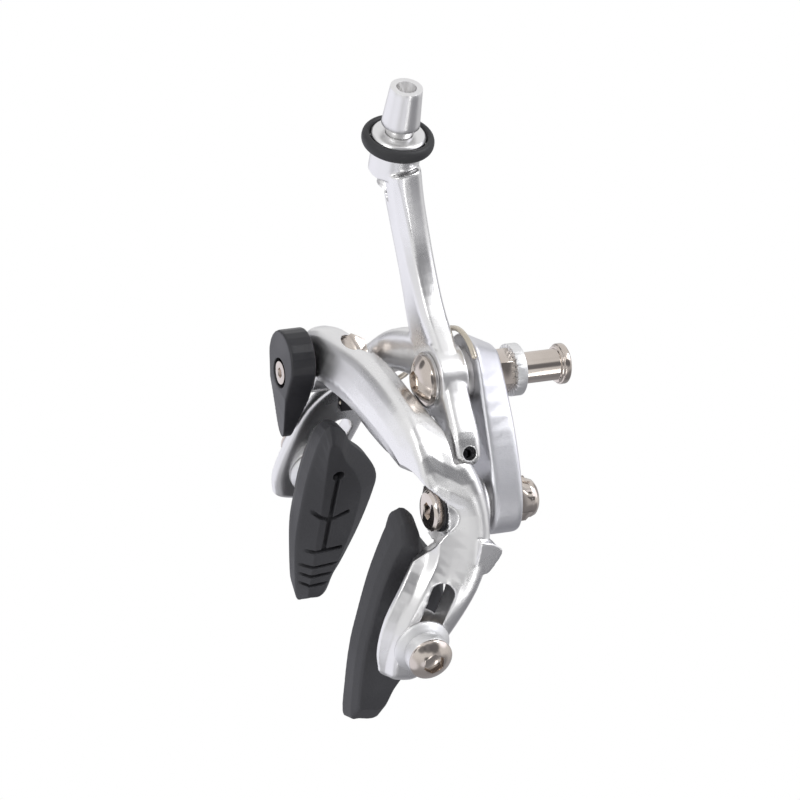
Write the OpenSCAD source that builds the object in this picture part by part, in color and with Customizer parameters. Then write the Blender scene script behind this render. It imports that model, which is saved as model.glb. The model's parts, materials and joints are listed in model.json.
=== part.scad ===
/* [Mounting bolt] */
// Diameter of the mounting bolt's thread
bolt_d = 6; // [5:0.5:7]
// Outer diameter of the recessed nut's barrel
nut_barrel_d = 8; // [7.6:0.1:9]
// Length of the recessed nut's barrel behind the fork spacer
nut_barrel_l = 10.4; // [8:0.2:30]
// Diameter of the recessed nut's head
nut_head_d = 10.4; // [9.6:0.1:12]
// Length of the recessed nut's head
nut_head_l = 2.6; // [2:0.1:4]
// Diameter of the serrated spacer that meets the fork
spacer_d = 13.4; // [12:0.2:18]
// Thickness of the fork spacer
spacer_t = 2.8; // [2:0.1:5]
// Thickness of the hexagonal lock nut behind the bracket
lock_nut_t = 4.3; // [3:0.1:5]
// Width across the flats of the lock nut
lock_nut_af = 10; // [9.4:0.2:12]

/* [Bracket] */
// Thickness of the bracket, front to back
bracket_t = 8.1; // [7:0.1:10]
// Radius of the bracket's lobe round the mounting bolt
bracket_top_r = 11; // [10:0.2:12]
// Radius of the bracket's lobe round the side pivot
bracket_side_r = 8; // [7.6:0.1:9]

/* [Pivots] */
// Sideways distance from the mounting bolt to the side pivot
side_x = 22.3; // [21.5:0.1:23]
// Drop from the mounting bolt to the side pivot
side_drop = 23.7; // [23:0.1:24.5]
// Gap between the bracket and the rear face of the adjuster arm
arm_gap = 2; // [1.8:0.1:2.6]
// Width of the adjuster arm's hub along the bolt
hub_t = 7.4; // [7:0.1:8]
// Radius of the adjuster arm's hub
hub_r = 9.3; // [8.8:0.1:10]
// Wall of the bushes in both pivots
bush_wall = 1; // [0.8:0.1:1.3]
// Radial clearance between turning parts
running_gap = 0.05; // [0.03:0.01:0.08]
// Diameter of the domed nut in front of the hub
cap_nut_d = 13; // [12:0.2:14]
// Diameter of the side pivot bolt's head
side_head_d = 10.4; // [9.6:0.1:11]
// Radius of the flat seat sunk round the side pivot's head
seat_r = 7; // [6.4:0.1:7.4]

/* [Brake pads] */
// Distance from the mounting bolt's plane of symmetry to each leg's outer face at its stud
stud_x = 39.3; // [38.5:0.1:40.5]
// Distance of both studs in front of the fork face
stud_front = 34.2; // [33.4:0.1:35]
// Drop from the mounting bolt to the right stud
stud_drop = 52.8; // [52:0.1:54]
// How much higher the left stud hangs with the brake open
left_stud_lift = 0.2; // [0:0.1:0.8]
// Angle by which both open legs lean outward
open_lean = 5.5; // [4.5:0.25:6.5]
// Diameter of the pad bolts
pad_bolt_d = 6; // [5:0.5:6.4]
// Width of the slots in the legs
slot_w = 6.2; // [6.1:0.1:6.8]
// Length of the slots in the legs, centre to centre
slot_run = 14.5; // [12:0.5:15]
// Length of a brake pad
pad_l = 65; // [60:1:66]
// Greatest width of a brake pad
pad_w = 20; // [17:0.5:21]
// Thickness of a brake pad, from its back to its tread
pad_t = 11; // [9.5:0.25:11.5]

// Turn of the right pad about its bolt from hanging straight down
right_pad_turn = 5.5; // [0:0.5:10]
// Turn of the left pad about its bolt from hanging straight down
left_pad_turn = -4; // [-5:0.5:4]

/* [Cable adjuster] */
// Sideways distance from the mounting bolt to the cable
cable_x = 33.5; // [32.5:0.1:34.5]
// Distance of the cable in front of the fork face
cable_front = 27.2; // [26.6:0.1:28]
// Height of the adjuster boss's top above the mounting bolt
boss_top = 48.6; // [47:0.2:50]
// Diameter of the adjuster's thread
adjuster_d = 7; // [6.5:0.5:8]
// Bore of the adjuster barrel for the cable housing
housing_d = 5.2; // [5:0.1:5.6]

/* [Quick release] */
// Radius of the quick-release lever's round head
lever_r = 8; // [7.6:0.1:8.8]
// Thickness of the quick-release lever
lever_t = 6.8; // [6:0.2:7.6]
// Distance from the lever's axle to the tip of its tail
lever_reach = 20.5; // [17:0.5:24]

/* [Hidden] */
$fn = 64;

// Levels along the mounting bolt: zero is the fork face, negative is in front of it
nut_front = -spacer_t;
bracket_back = nut_front - lock_nut_t;
bracket_front = bracket_back - bracket_t;
hub_back = bracket_front - arm_gap;
hub_front = hub_back - hub_t;
hub_middle = (hub_front + hub_back) / 2;
washer_t = 0.8;
cap_back = hub_front - washer_t;
cap_t = 3.5;
cap_front = cap_back - cap_t;

// Levels along the side pivot
side_gap = 1.2;
side_hub_t = 10.3;
side_hub_back = bracket_front - side_gap;
seat_level = side_hub_back - side_hub_t;
side_washer_t = 1;
side_head_t = 2.6;
side_head_back = seat_level - side_washer_t;
side_head_front = side_head_back - side_head_t;
side_nut_t = 6;
side = [side_x, 0, -side_drop];

// Radii of the pivots
bolt_r = bolt_d / 2;
bolt_bore_r = bolt_r + running_gap;
bush_r = bolt_bore_r + bush_wall;
arm_bore_r = bush_r + running_gap;

// Places along a pad's stud, measured outward from the leg's outer face
leg_t = 5.2;
inner_dome_t = 3;
inner_cup_t = 3;
outer_dome_t = 2.4;
outer_cup_t = 3.4;
head_t = 3.2;
pad_back = -leg_t - inner_dome_t - inner_cup_t - running_gap;
pad_drop = 1.3;
head_seat = outer_dome_t + outer_cup_t;
pad_bolt_r = pad_bolt_d / 2;
washer_bore_r = pad_bolt_r + running_gap;
right_stud = [stud_x, -stud_front, -stud_drop];
left_stud = [-stud_x, -stud_front, left_stud_lift - stud_drop];
// Forward lean of the slots and legs, seen from the side
slot_lean = 18;

// Cable adjuster levels
cable = [-cable_x, -cable_front, 0];
boss_r = 6.3;
boss_h = 7;
boss_bottom = boss_top - boss_h;
adjuster_r = adjuster_d / 2;
knob_bottom = boss_top + 0.3;
knob_t = 3.9;
knob_top = knob_bottom + knob_t;
knob_r = 7;
ring_r = 9.2;
cone_bottom = knob_top + 2.8;
cone_top = cone_bottom + 10.8;

// Quick-release levels and axis
lever_axis = [-33, 0, -18.5];
lever_back = -43;
lever_front = lever_back - lever_t;

// Smooth curve through stations, point by point
function station(s, i) = s[max(0, min(len(s) - 1, i))];
function spline(a, b, c, d, t) =
    0.5 * (2 * b + (c - a) * t + (2 * a - 5 * b + 4 * c - d) * t * t + (3 * b - a - 3 * c + d) * t * t * t);
function smooth(s, steps) = [
    for (i = [0:len(s) - 2], k = [0:steps - 1])
        spline(station(s, i - 1), s[i], s[i + 1], station(s, i + 2), k / steps),
    s[len(s) - 1]
];
function closed(s, steps) = [
    for (i = [0:len(s) - 1], k = [0:steps - 1])
        let (n = len(s))
        spline(s[(i + n - 1) % n], s[i], s[(i + 1) % n], s[(i + 2) % n], k / steps)
];
function unit(v) = v / norm(v);
function place(s) = [s[0], s[1], s[2]];
function power(x, e) = sign(x) * pow(abs(x), e);

// How far a point of a section is drawn in by a bevel of width bw and depth bn at the corner of half
// width hw and half depth hn; p is the point as seen from that corner's quarter
function bevelled(p, hw, hn, bw, bn) =
    p[0] > 0 && p[1] > 0 && bw > 0 ? min(1, (hw / bw + hn / bn - 1) / (p[0] / bw + p[1] / bn)) : 1;

// One ring of a swept bar. A station is [x, y, z, half width, half depth, roll, squareness,
// width and depth of the bevel on its front upper or outer corner, the same on the corner below]
function ring(s, along, shrink, shift, sides) =
    let (
        w0 = unit([0, 1, 0] - along * along[1]),
        n0 = cross(along, w0),
        w = w0 * cos(s[5]) + n0 * sin(s[5]),
        n = n0 * cos(s[5]) - w0 * sin(s[5]),
        full = len(s) > 10
    )
    [for (k = [0:sides - 1])
        let (
            a = 360 * k / sides,
            p = [s[3] * power(cos(a), 2 / s[6]), s[4] * power(sin(a), 2 / s[6])],
            over = full ? bevelled([-p[0], p[1]], s[3], s[4], s[7], s[8]) : 1,
            under = full ? bevelled([-p[0], -p[1]], s[3], s[4], s[9], s[10]) : 1
        )
        place(s) + along * shift + (w * p[0] + n * p[1]) * shrink * over * under];

// A bar swept through stations with domed ends
module swept_bar(stations, steps, sides, start_dome, end_dome) {
    path = smooth(stations, steps);
    last = len(path) - 1;
    ways = [for (i = [0:last]) unit(place(path[min(last, i + 1)]) - place(path[max(0, i - 1)]))];
    dome = [25, 50, 72];
    rings = concat(
        [for (a = dome) ring(path[0], ways[0], sin(a), -start_dome * cos(a), sides)],
        [for (i = [0:last]) ring(path[i], ways[i], 1, 0, sides)],
        [for (k = [0:2])
            let (a = dome[2 - k])
            ring(path[last], ways[last], sin(a), end_dome * cos(a), sides)]
    );
    skin(rings);
}

// Closed solid through rings with the same number of points
module skin(rings) {
    n = len(rings[0]);
    m = len(rings);
    points = [for (r = rings, p = r) p];
    walls = [
        for (i = [0:m - 2], j = [0:n - 1])
            let (a = i * n + j, b = i * n + (j + 1) % n)
            each [[a, a + n, b], [b, a + n, b + n]]
    ];
    ends = [[for (j = [0:n - 1]) j], [for (j = [n - 1:-1:0]) (m - 1) * n + j]];
    polyhedron(points = points, faces = concat(walls, ends), convexity = 6);
}

// Outline moved inward by d along its own normals
function inset(o, d) = [
    for (i = [0:len(o) - 1])
        let (
            n = len(o),
            t = unit(o[(i + 1) % n] - o[(i + n - 1) % n])
        )
        o[i] + d * [-t[1], t[0]]
];

// Slab of a closed outline between two levels along Y, with rounded edges.
// The outlines are given as [x, z] points, anticlockwise seen from the front.
module slab(outline, y_front, y_back, round_front, round_back, back_outline = []) {
    turns = [0, 30, 60, 90];
    back = len(back_outline) > 0 ? back_outline : outline;
    skin(concat(
        [for (a = turns) let (o = inset(back, round_back * (1 - sin(a))))
            [for (p = o) [p[0], y_back - round_back * (1 - cos(a)), p[1]]]],
        [for (k = [0:3]) let (a = turns[3 - k], o = inset(outline, round_front * (1 - sin(a))))
            [for (p = o) [p[0], y_front + round_front * (1 - cos(a)), p[1]]]]
    ));
}

// Round and hexagonal bars along Y
module bar_y(y_front, y_back, r) {
    translate([0, y_back, 0]) rotate([90, 0, 0]) cylinder(h = y_back - y_front, r = r);
}
module hex_y(y_front, y_back, flats, turn = 0) {
    translate([0, y_back, 0]) rotate([90, 0, 0]) rotate([0, 0, turn])
        cylinder(h = y_back - y_front, r = flats / 2 / cos(30), $fn = 6);
}
// Solid of revolution round Y from [radius, y] points
module turned_y(points) {
    rotate([-90, 0, 0]) rotate_extrude() polygon(points);
}
// Round bar along X
module bar_x(x0, x1, r) {
    translate([x0, 0, 0]) rotate([0, 90, 0]) cylinder(h = x1 - x0, r = r);
}
// Solid of revolution round X from [radius, x] points
module turned_x(points) {
    rotate([0, 90, 0]) rotate_extrude() polygon(points);
}
// Profile of a shallow dome as [radius, height] points, from its axis to its rim
function dome_profile(r, h, edge) =
    let (
        rise = h - edge,
        ball = (r * r + rise * rise) / (2 * rise),
        span = asin(r / ball)
    )
    [for (k = [0:8]) let (a = span * k / 8) [ball * sin(a), h - ball + ball * cos(a)]];
// Domed disc along X, its back at x0 and its dome outward
module dome_x(x0, r, h, edge) {
    translate([x0, 0, 0]) turned_x(concat([[0, 0]], dome_profile(r, h, edge), [[r, 0]]));
}
// Domed disc along Y, its back at y_back and its dome to the front
module dome_front_y(y_back, r, h, edge) {
    translate([0, y_back, 0]) mirror([0, 1, 0]) turned_y(concat([[0, 0]], dome_profile(r, h, edge), [[r, 0]]));
}

// Mounting bolt and its stack
module mounting_bolt() {
    color("silver")
        bar_y(cap_front + 2.3, nut_barrel_l - 2.6, bolt_r);
}
module pivot_cap_nut() {
    color("silver") difference() {
        dome_front_y(cap_back, cap_nut_d / 2, cap_t, 1.1);
        hex_y(cap_front - 1, cap_front + 2, 5);
        bar_y(cap_front + 2.2, cap_back + 1, bolt_bore_r);
    }
}
module washer_y(y_front, y_back, r, bore) {
    difference() {
        bar_y(y_front, y_back, r);
        bar_y(y_front - 1, y_back + 1, bore);
    }
}
module front_thrust_washer() {
    color("silver") washer_y(cap_back, hub_front, cap_nut_d / 2 + 0.7, bolt_bore_r);
}
module centre_bush() {
    color("goldenrod") washer_y(hub_front, hub_back, bush_r, bolt_bore_r);
}
module rear_thrust_washer() {
    color("silver") washer_y(hub_back, bracket_front, hub_r - 1.7, bolt_bore_r);
}
module bracket_lock_nut() {
    color("silver") difference() {
        hex_y(bracket_back, nut_front, lock_nut_af);
        bar_y(bracket_back - 1, nut_front + 1, bolt_bore_r);
    }
}
module fork_spacer() {
    teeth = 24;
    mouth = nut_barrel_d / 2 + 0.3 - bolt_bore_r;
    color("gainsboro") difference() {
        bar_y(nut_front, 0, spacer_d / 2);
        bar_y(nut_front - 1, 1, bolt_bore_r);
        turned_y([[0, -mouth], [bolt_bore_r, -mouth], [nut_barrel_d / 2 + 0.3, 0],
            [nut_barrel_d / 2 + 0.3, 1], [0, 1]]);
        for (k = [0:teeth - 1]) rotate([0, 360 * k / teeth, 0])
            translate([spacer_d / 2 - 0.6, nut_front, 0]) rotate([45, 0, 0])
                cube([2.8, 0.5, 0.5], center = true);
    }
}
module mounting_nut() {
    head_r = nut_head_d / 2;
    barrel_r = nut_barrel_d / 2;
    end = nut_barrel_l + nut_head_l;
    color("silver") difference() {
        turned_y([[0, 0], [barrel_r, 0], [barrel_r, nut_barrel_l], [head_r - 0.5, nut_barrel_l],
            [head_r - 0.5, nut_barrel_l + 0.5], [head_r, nut_barrel_l + 0.7], [head_r, end - 0.4],
            [head_r - 0.4, end], [0, end]]);
        bar_y(-1, nut_barrel_l - 2.4, bolt_bore_r);
        hex_y(nut_barrel_l - 2.6, end + 1, 5);
    }
}

// Bracket outline, anticlockwise seen from the front, for a given radius of the upper lobe
function bracket_outline(top_r) = closed([
    for (a = [60, 95, 130, 165, 200]) top_r * [cos(a), sin(a)],
    0.94 * top_r * [cos(238), sin(238)],
    [side_x - 13, 0.24 * side_drop - side_drop],
    for (a = [195, 230, 270, 310, 350]) [side_x, -side_drop] + bracket_side_r * [cos(a), sin(a)],
    [side_x + 5.6, 6.8 - side_drop],
    [side_x * 0.8, 0.66 * bracket_top_r - side_drop * 0.5]
], 5);
module bracket() {
    color("silver") difference() {
        slab(bracket_outline(bracket_top_r), bracket_front, bracket_back, 0.8, 0.8,
            bracket_outline(0.7 * bracket_top_r));
        bar_y(bracket_front - 1, bracket_back + 1, bolt_bore_r);
        translate(side) bar_y(bracket_front - 1, bracket_back + 1, bolt_bore_r);
    }
}

// Side pivot
module side_pivot_bolt() {
    head_r = side_head_d / 2;
    color("silver") translate(side) difference() {
        union() {
            turned_y([[0, side_head_front], [head_r - 0.6, side_head_front],
                [head_r, side_head_front + 0.7], [head_r, side_head_back], [0, side_head_back]]);
            bar_y(side_head_back - 0.5, bracket_back + side_nut_t - 1.6, bolt_r);
        }
        hex_y(side_head_front - 1, side_head_front + 2.2, 4);
    }
}
module side_pivot_washer() {
    color("black") translate(side) washer_y(side_head_back, seat_level, side_head_d / 2 + 0.4, bolt_bore_r);
}
module side_bush() {
    color("goldenrod") translate(side) washer_y(seat_level, side_hub_back, bush_r, bolt_bore_r);
}
module side_thrust_washer() {
    color("silver") translate(side) washer_y(side_hub_back, bracket_front, bracket_side_r - 2, bolt_bore_r);
}
module side_pivot_nut() {
    back = bracket_back + side_nut_t;
    color("silver") translate(side) difference() {
        union() {
            hex_y(bracket_back, bracket_back + 3.6, 10);
            turned_y([[0, bracket_back + 3.4], [5, bracket_back + 3.4], [5, bracket_back + 4.4],
                [4.6, back - 0.6], [3.8, back], [0, back]]);
        }
        bar_y(bracket_back - 1, back - 1.4, bolt_bore_r);
    }
}

// Arm that carries the cable adjuster and the left pad
upper_path = [
    [-31.2, -26.4, boss_top - 5.1, 4.6, 6, 0, 3, 2, 2, 1, 1],
    [-29.2, -24.9, boss_top - 12.6, 4.2, 5.4, 0, 3.4, 2, 2.6, 1, 1],
    [-26, -23.1, 0.556 * boss_top, 3.9, 5.1, 0, 4, 1.8, 2.8, 1, 1],
    [-20.6, -21.8, 0.37 * boss_top, 3.7, 5.3, 0, 4, 1.6, 2.8, 1, 1],
    [-12.5, -21, 8.5, 3.6, 6.7, 0, 4, 1.4, 2.6, 1, 1],
    [0, hub_middle, 0.5, hub_t / 2, hub_r - 0.6, 0, 4.4, 1.2, 2, 1, 1],
    [9.5, hub_middle, -3.8, hub_t / 2, 5.8, 0, 4.4, 1.2, 1.6, 1, 1],
    [15.5, hub_middle, -7, hub_t / 2, 4.8, 0, 4.4, 1.2, 1.2, 1, 1],
    [19, hub_middle, -10.2, hub_t / 2, 4, 0, 3.6, 1.2, 1.2, 1, 1]
];
left_path = [
    [-3, -20.9, 0.5, 3.6, 6.6, 0, 3, 1, 1, 1, 1],
    [-13, -21.2, -1.6, 3.8, 6.2, 0, 3, 1, 2, 1, 2],
    [-21.6, -23, -6.4, 4.3, 5.4, 0, 3, 1.4, 2, 1.4, 2],
    [-28.6, -24.7, -14.6, 4.3, 4.6, 0, 3, 1.4, 2, 2, 2.4],
    [-33.2, -28, -23.6, 6.8, 4, 0, 3.6, 1, 1, 3, 4],
    [-35.4, -31.6, -34, 9.2, 3.1, 0, 4, 1, 1, 5, 4.4],
    [-36.2, -34.8, -45, 9.2, 2.75, 0, 4.2, 1, 1, 5, 4.2],
    [-37.1, -37.6, -55.5, 8.2, 2.7, 0, 3.8, 1, 1, 4.6, 4],
    [-37.6, -38.8, -61.4, 5.8, 2.6, 0, 3, 1, 1, 3, 3.4]
];
module adjuster_arm() {
    color("gainsboro") difference() {
        union() {
            swept_bar(upper_path, 4, 28, 1, 3);
            swept_bar(left_path, 4, 28, 1, 2.4);
            bar_y(hub_front + running_gap, hub_back - running_gap, hub_r);
            translate(cable + [0, 0, boss_bottom]) cylinder(h = boss_h, r = boss_r);
        }
        bar_y(hub_front - 3, hub_back + 3, arm_bore_r);
        bar_y(hub_front - 5, hub_front + running_gap, cap_nut_d / 2 + 1.4);
        bar_y(hub_back - running_gap, hub_back + 5, hub_r + 3);
        translate(cable + [0, 0, boss_bottom - 6]) cylinder(h = boss_h + 12, r = adjuster_r + running_gap);
        at_centring() translate([0, 0, -5.1]) cylinder(h = 20, r = 1.7 + running_gap);
        at_stud(left_stud, -1) bar_x(0, 9, 7.8);
        at_stud(left_stud, -1) bar_x(-14, -leg_t, 7.8);
        stud_slot(left_stud, -1);
    }
}

// Arm that carries the quick release and the right pad
anchor_path = [
    [-37.6, -37.4, -14.6, 4.6, 5.2, 0, 2.8, 1, 1, 1, 1],
    [-33, -37, -13.6, 5, 6.6, -8, 3, 1, 1, 2, 2],
    [-25, -36.4, -11.8, 5.2, 6.8, -20, 3.6, 1, 1, 3, 3],
    [-13, -35.4, -9.4, 5, 7.4, -24, 4, 1, 1, 4, 4],
    [2, -34.9, -7.8, 4.6, 7.6, -24, 4, 1, 1, 4.5, 5],
    [12, -32.6, -9, 5.6, 7.2, -20, 4, 1, 1.4, 4, 5],
    [21.2, -26.8, -14.6, 7.8, 6, 13, 3.8, 2, 2, 2, 2],
    [25.8, -24.4, -22.8, 8.8, 4.6, 28, 4, 4, 3.6, 1, 1],
    [31.2, -25.9, -32, 8.8, 3.8, 18, 4.2, 5.4, 5.8, 1, 1],
    [34.7, -30.4, -40.2, 9.1, 3.1, 6, 4.4, 5.4, 4.6, 1, 1],
    [36.35, -34.8, -49, 9.1, 2.75, 0, 4.4, 5, 4.4, 1, 1],
    [37.1, -37.1, -57, 7.8, 2.7, 0, 3.6, 4.4, 4.2, 1, 1],
    [37.5, -38.2, -61.6, 5.8, 2.6, 0, 3, 3.4, 3.6, 1, 1]
];
// Small hooked tab on the rear edge of the right leg, as [y, z] points of its outline
tab_outline = [
    [-21, -24.6], [-17.4, -25.6], [-15.6, -26.6], [-14.7, -27.6], [-14.6, -28.7], [-15.1, -29.9],
    [-17.6, -34], [-22, -35]
];
module leg_tab() {
    tab_face = side_x + 14.4;
    translate([tab_face, 0, -30]) rotate([0, -7, 0]) translate([-2.8, 0, 30])
        rotate([90, 0, 90]) linear_extrude(2.8) polygon(tab_outline);
}
module anchor_arm() {
    color("gainsboro") difference() {
        union() {
            swept_bar(anchor_path, 4, 32, 3, 2.6);
            leg_tab();
            translate(side) bar_y(seat_level - 3, side_hub_back, bracket_side_r + 0.4);
            at_clamp() translate([0, 0, -3]) cylinder(h = 3, r = 3.2);
            translate(lever_axis) bar_y(lever_back + 0.4, -36.6, 6);
        }
        translate(side) bar_y(seat_level - 20, seat_level + running_gap, seat_r);
        translate(side) bar_y(seat_level - 3, side_hub_back + 3, arm_bore_r);
        translate(side) bar_y(side_hub_back - running_gap, side_hub_back + 5, 14);
        translate(lever_axis) bar_y(lever_back - 5, -37.4, 3 + running_gap);
        at_clamp() cylinder(h = 12, r = 4.2);
        at_stud(right_stud, 1) bar_x(0, 9, 7.8);
        at_stud(right_stud, 1) bar_x(-14, -leg_t, 7.8);
        at_clamp() translate([0, 0, -7]) cylinder(h = 12, r = 2.5 + running_gap);
        // room for the other arm's lobe, and the land its centring screw bears on
        translate([0, hub_front - 1.2, 0]) rotate([-90, 0, 0]) cylinder(h = 20, r = 25.3);
        stud_slot(right_stud, 1);
    }
}

// Frame of a stud: origin on the leg's outer face, X outward
module at_stud(stud, way) {
    translate(stud) mirror([way < 0 ? 1 : 0, 0, 0]) rotate([0, -open_lean, 0]) children();
}
module stud_slot(stud, way) {
    r = slot_w / 2;
    at_stud(stud, way) rotate([-slot_lean, 0, 0]) {
        bar_x(-12, 8, r);
        translate([0, 0, slot_run]) bar_x(-12, 8, r);
        translate([-12, -r, 0]) cube([20, slot_w, slot_run]);
    }
}

// Pad hardware, each piece made once and placed on both sides
module outer_dome_washer() {
    turned_x([[washer_bore_r, 0], [7.4, 0], [7.4, 0.8], [5.6, outer_dome_t],
        [washer_bore_r, outer_dome_t]]);
}
module outer_cup_washer() {
    turned_x([[washer_bore_r, outer_dome_t], [5.7, outer_dome_t], [5.7, head_seat],
        [washer_bore_r, head_seat]]);
}
module inner_dome_washer() {
    x0 = -leg_t;
    x1 = x0 - inner_dome_t;
    turned_x([[washer_bore_r, x0], [7.4, x0], [7.4, x0 - 0.8], [5.4, x1], [washer_bore_r, x1]]);
}
module inner_cup_washer() {
    x0 = -leg_t - inner_dome_t;
    turned_x([[washer_bore_r, x0], [6, x0], [6, x0 - inner_cup_t], [washer_bore_r, x0 - inner_cup_t]]);
}
module pad_bolt() {
    difference() {
        union() {
            dome_x(head_seat + running_gap, 5.7, head_t, 0.7);
            bar_x(pad_back - 4, head_seat + 0.5, pad_bolt_r);
        }
        bar_hex_x(head_seat + head_t - 2.2, head_seat + head_t + 1, 5);
    }
}
module bar_hex_x(x0, x1, flats) {
    translate([x0, 0, 0]) rotate([0, 90, 0]) cylinder(h = x1 - x0, r = flats / 2 / cos(30), $fn = 6);
}
module pad_insert() {
    x0 = pad_back;
    difference() {
        bar_x(x0 - 5, x0, 4.6);
        bar_x(x0 - 6, x0 + 1, pad_bolt_r + running_gap);
    }
}

// Outline of a pad as [y, z] points round its stud, clockwise seen from the leg
pad_outline = closed([
    [-0.45 * pad_w, 0.22 * pad_l], [-0.5 * pad_w, -0.03 * pad_l], [-0.5 * pad_w, -0.16 * pad_l],
    [-0.45 * pad_w, -0.32 * pad_l], [-0.37 * pad_w, -0.48 * pad_l], [-0.24 * pad_w, -0.495 * pad_l],
    [0.02 * pad_w, -0.49 * pad_l], [0.12 * pad_w, -0.38 * pad_l], [0.22 * pad_w, -0.3 * pad_l],
    [0.4 * pad_w, -0.12 * pad_l], [0.525 * pad_w, 0.06 * pad_l], [0.54 * pad_w, 0.16 * pad_l],
    [0.38 * pad_w, 0.26 * pad_l], [0.12 * pad_w, 0.35 * pad_l], [-0.03 * pad_w, 0.44 * pad_l],
    [-0.28 * pad_w, 0.455 * pad_l]
], 4);
// Middle line of that outline, and the outline pinched toward it
function pad_middle(z) = -0.27 * pad_w * (z / (pad_l / 2)) * (z / (pad_l / 2)) * (z < 0 ? 0.7 : 1);
function pinch(o, f, share) = [
    for (p = o)
        let (m = pad_middle(p[1]))
        [m + (p[0] - m) * f, p[1] * share - pad_drop]
];
module pad_body() {
    wall = pad_t - 3.4;
    // depth from the back, share of the width, share of the length
    levels = [[pad_t, 0.5, 0.88], [pad_t - 0.4, 0.56, 0.9], [wall + 0.5, 0.93, 0.98], [wall, 0.98, 1],
        [3, 0.97, 0.94], [0.6, 0.9, 0.82], [0, 0.84, 0.79]];
    difference() {
        skin([for (l = levels) [for (p = pinch(pad_outline, l[1], l[2])) [pad_back - l[0], p[0], p[1]]]]);
        bar_x(pad_back - 5, pad_back + 1, 4.65);
        pad_tread();
    }
}
// Drainage hole, grooves and saw cuts in the tread
groove_w = 1.3;
groove_deep = 1.8;
module groove(from, to) {
    run = to - from;
    translate(from) rotate(atan2(run[1], run[0])) translate([-groove_w / 2, -groove_w / 2])
        square([norm(run) + groove_w, groove_w]);
}
module pad_tread() {
    hole = [-1.6, 15.2 - pad_drop];
    fork = [-2.4, -0.6 - pad_drop];
    tee = [-2.9, -11.6 - pad_drop];
    translate([0, hole[0], hole[1]]) bar_x(pad_back - pad_t - 2, pad_back - pad_t + 3, 1.6);
    translate([pad_back - pad_t - 1, 0, 0]) rotate([90, 0, 90]) linear_extrude(1 + groove_deep) {
        groove(hole, tee);
    }
}

module adjuster_knob() {
    color("gainsboro") translate(cable) difference() {
        rotate_extrude() polygon([[0, knob_bottom], [5, knob_bottom], [5, knob_bottom + 0.8],
            [knob_r, knob_bottom + 1.2], [knob_r, knob_top - 0.6], [knob_r - 0.5, knob_top],
            [0, knob_top + 0.4]]);
        translate([0, 0, knob_bottom - 1]) cylinder(h = knob_t + 3, r = adjuster_r + running_gap);
    }
}
module adjuster_ring() {
    color("black") translate(cable) rotate_extrude() polygon([
        for (a = [0:20:340]) [(knob_r + ring_r) / 2 + 1.1 * cos(a) + 0.05, knob_bottom + 2 + 1.8 * sin(a)]]);
}
module cable_barrel() {
    color("gainsboro") translate(cable) difference() {
        union() {
            translate([0, 0, boss_bottom - 4]) cylinder(h = cone_bottom - boss_bottom + 5, r = adjuster_r);
            translate([0, 0, cone_bottom]) cylinder(h = cone_top - cone_bottom, r1 = 4.9, r2 = 4.1);
        }
        translate([0, 0, cone_top - 9]) cylinder(h = 10, r = housing_d / 2);
        translate([0, 0, boss_bottom - 5]) cylinder(h = 40, r = 1);
    }
}
// The round head sits off the axle like a cam
lever_offset = [-0.6, 3.4];
lever_outline = closed([
    for (a = [-25, 5, 35, 65, 95, 125, 155, 180, 200]) lever_offset + lever_r * [cos(a), sin(a)],
    [-4.6, -7.4], [-2.2, -lever_reach + 3.4], [-1, -lever_reach + 0.8], [0.4, -lever_reach],
    [1.8, -lever_reach + 0.8], [2.8, -lever_reach + 3.4], [4.8, -9], [6.2, -3.6]
], 2);
module quick_release_lever() {
    color("black") translate(lever_axis) difference() {
        slab(lever_outline, lever_front, lever_back, 0.6, 0.4);
        // the tail thins toward its tip on both faces
        translate([-10, lever_front, 3.4 - lever_r]) rotate([11, 0, 0]) translate([0, -10, -30])
            cube([20, 10, 30]);
        translate([-10, lever_back, 3 - lever_r]) rotate([-6, 0, 0]) translate([0, 0, -30])
            cube([20, 10, 30]);
        bar_y(lever_front - 1, lever_front + 2.4, 3.9);
        bar_y(lever_front - 1, lever_back + 1, 2.5 + running_gap);
    }
}
module quick_release_screw() {
    color("silver") translate(lever_axis) difference() {
        union() {
            bar_y(lever_front + 0.1, lever_front + 2.3, 3);
            bar_y(lever_front + 1, lever_back, 2.5);
        }
        hex_y(lever_front - 1, lever_front + 1.6, 2.5);
    }
}

module quick_release_axle() {
    color("silver") translate(lever_axis) difference() {
        union() {
            bar_y(lever_back, lever_back + 5, 3);
        }
    }
}

// Cable clamp on the rear upper side of the anchor arm; its own Z is the screw's axis
clamp_seat = [-28.6, -33.4, -11.4];
clamp_tilt = 35;
module at_clamp() {
    translate(clamp_seat) rotate([0, clamp_tilt, 0]) children();
}
module cable_clamp() {
    color("silver") at_clamp() difference() {
        cylinder(h = 1.4, r = 3.7);
        translate([0, 0, -1]) cylinder(h = 4, r = 2.5 + running_gap);
    }
}
// Hexagonal screw that holds the cable under its washer
module clamp_screw() {
    color("silver") at_clamp() difference() {
        union() {
            translate([0, 0, 1.4]) cylinder(h = 3.4, r = 3.9, $fn = 6);
            translate([0, 0, -5]) cylinder(h = 7, r = 2.5);
        }
    }
}

// Centring screw in the end of the adjuster arm's lobe
screw_seat = [19.4, hub_middle, -9.2];
screw_tilt = 52;
module at_centring() {
    translate(screw_seat) rotate([0, screw_tilt, 0]) children();
}
module centring_screw() {
    color("silver") at_centring() difference() {
        translate([0, 0, -5]) cylinder(h = 6, r = 1.7);
        translate([0, 0, -1]) cylinder(h = 3, r = 2 / 2 / cos(30), $fn = 6);
    }
}

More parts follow.
